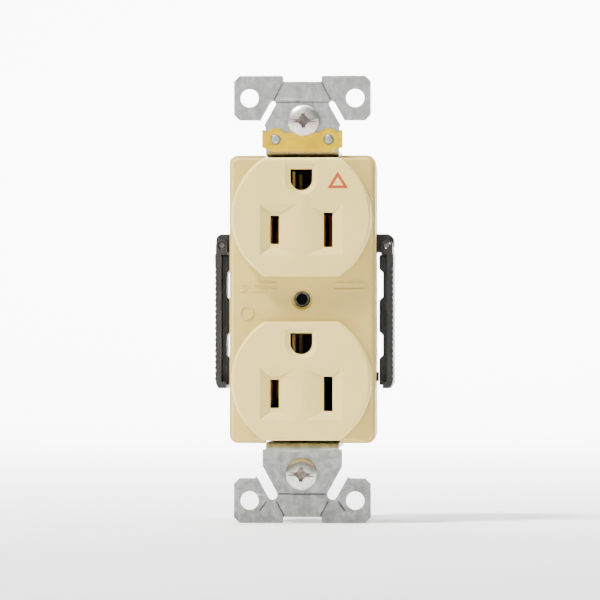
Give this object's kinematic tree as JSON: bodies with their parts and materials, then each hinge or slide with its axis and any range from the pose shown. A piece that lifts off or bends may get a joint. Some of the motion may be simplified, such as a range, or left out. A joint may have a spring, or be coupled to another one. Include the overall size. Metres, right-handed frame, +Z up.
{
  "type": "duplex wall outlet",
  "caption": "Duplex wall outlet with ivory face, wrap-round steel mounting strap, grounding clip, captive screws, clamp terminals and hinged terminal guards.",
  "frame": {"origin": "centre of the plane of the mounting ears' backs, which rest on the wall or box", "axes": "+Z up along the outlet's length, +Y back into the wall box, +X to the right seen from the front"},
  "size_m": [0.0428, 0.0336, 0.1064],
  "materials": {
    "ivory_nylon": "smooth moulded ivory nylon, softly glossy",
    "black_nylon": "fine-grained moulded black nylon",
    "galvanised_steel": "zinc-plated pressed steel, cloudy and lightly scratched",
    "nickel_plate": "nickel-plated steel, satin",
    "brass": "plain rolled brass",
    "green_plate": "green-dyed plated steel",
    "fibre": "matt vulcanised fibre"
  },
  "bodies": {
    "root": {"face_cover": "ivory_nylon", "rear_body": "black_nylon", "mounting_strap": "galvanised_steel", "grounding_clip": "brass", "hot_contact_strip": "brass", "neutral_contact_strip": "brass", "ground_contact_strip": "brass", "back_insulator": "fibre", "centre_bushing": "galvanised_steel", "assembly_screw_upper": "galvanised_steel", "assembly_screw_lower": "galvanised_steel", "retaining_washer_upper": "fibre", "retaining_washer_lower": "fibre", "terminal_hinge_pin_left": "galvanised_steel", "terminal_hinge_pin_right": "galvanised_steel"},
    "guard_left": {"terminal_guard_left": "black_nylon"},
    "guard_right": {"terminal_guard_right": "black_nylon"},
    "mount_screw_upper": {"mounting_screw_upper": "nickel_plate"},
    "mount_screw_lower": {"mounting_screw_lower": "nickel_plate"},
    "hot_plate_upper": {"hot_clamp_plate_upper": "brass"},
    "hot_terminal_upper": {"hot_screw_upper": "brass"},
    "hot_plate_lower": {"hot_clamp_plate_lower": "brass"},
    "hot_terminal_lower": {"hot_screw_lower": "brass"},
    "neutral_plate_upper": {"neutral_clamp_plate_upper": "brass"},
    "neutral_terminal_upper": {"neutral_screw_upper": "nickel_plate"},
    "neutral_plate_lower": {"neutral_clamp_plate_lower": "brass"},
    "neutral_terminal_lower": {"neutral_screw_lower": "nickel_plate"},
    "ground_plate": {"ground_clamp_plate": "brass"},
    "ground_terminal": {"ground_screw": "green_plate"}
  },
  "joints": [
    {"name": "guard_left_hinge", "type": "hinge", "parent": "root", "child": "guard_left", "pos_m": [-0.01985, 0.014, 0.0131], "axis": [0, 1, 0], "range_deg": [0, 100]},
    {"name": "guard_right_hinge", "type": "hinge", "parent": "root", "child": "guard_right", "pos_m": [0.01985, 0.014, 0.0131], "axis": [0, -1, 0], "range_deg": [0, 100]},
    {"name": "mounting_screw_upper_turn", "type": "hinge", "parent": "root", "child": "mount_screw_upper", "pos_m": [0.00035, 0, 0.04245], "axis": [0, -1, 0], "continuous": true},
    {"name": "mounting_screw_lower_turn", "type": "hinge", "parent": "root", "child": "mount_screw_lower", "pos_m": [-0.0002, 0, -0.0417], "axis": [0, -1, 0], "continuous": true},
    {"name": "hot_plate_upper_slide", "type": "slide", "parent": "root", "child": "hot_plate_upper", "axis": [-1, 0, 0], "range_m": [0, 0.00238]},
    {"name": "hot_screw_upper_turn", "type": "hinge", "parent": "hot_plate_upper", "child": "hot_terminal_upper", "pos_m": [-0.01255, 0.0122, 0.0036], "axis": [-1, 0, 0], "range_deg": [0, 1080]},
    {"name": "hot_plate_lower_slide", "type": "slide", "parent": "root", "child": "hot_plate_lower", "axis": [-1, 0, 0], "range_m": [0, 0.00238]},
    {"name": "hot_screw_lower_turn", "type": "hinge", "parent": "hot_plate_lower", "child": "hot_terminal_lower", "pos_m": [-0.01255, 0.0122, -0.0109], "axis": [-1, 0, 0], "range_deg": [0, 1080]},
    {"name": "neutral_plate_upper_slide", "type": "slide", "parent": "root", "child": "neutral_plate_upper", "axis": [1, 0, 0], "range_m": [0, 0.00238]},
    {"name": "neutral_screw_upper_turn", "type": "hinge", "parent": "neutral_plate_upper", "child": "neutral_terminal_upper", "pos_m": [0.01255, 0.0122, 0.0036], "axis": [1, 0, 0], "range_deg": [0, 1080]},
    {"name": "neutral_plate_lower_slide", "type": "slide", "parent": "root", "child": "neutral_plate_lower", "axis": [1, 0, 0], "range_m": [0, 0.00238]},
    {"name": "neutral_screw_lower_turn", "type": "hinge", "parent": "neutral_plate_lower", "child": "neutral_terminal_lower", "pos_m": [0.01255, 0.0122, -0.0109], "axis": [1, 0, 0], "range_deg": [0, 1080]},
    {"name": "ground_plate_slide", "type": "slide", "parent": "root", "child": "ground_plate", "axis": [1, 0, 0], "range_m": [0, 0.00238]},
    {"name": "ground_screw_turn", "type": "hinge", "parent": "ground_plate", "child": "ground_terminal", "pos_m": [0.01255, 0.0122, 0.0265], "axis": [1, 0, 0], "range_deg": [0, 1080]}
  ],
  "couplings": [
    {"joint": "hot_screw_upper_turn", "follows": "hot_plate_upper_slide", "rad_per_m": 7915.7},
    {"joint": "hot_screw_lower_turn", "follows": "hot_plate_lower_slide", "rad_per_m": 7915.7},
    {"joint": "neutral_screw_upper_turn", "follows": "neutral_plate_upper_slide", "rad_per_m": 7915.7},
    {"joint": "neutral_screw_lower_turn", "follows": "neutral_plate_lower_slide", "rad_per_m": 7915.7},
    {"joint": "ground_screw_turn", "follows": "ground_plate_slide", "rad_per_m": 7915.7}
  ]
}
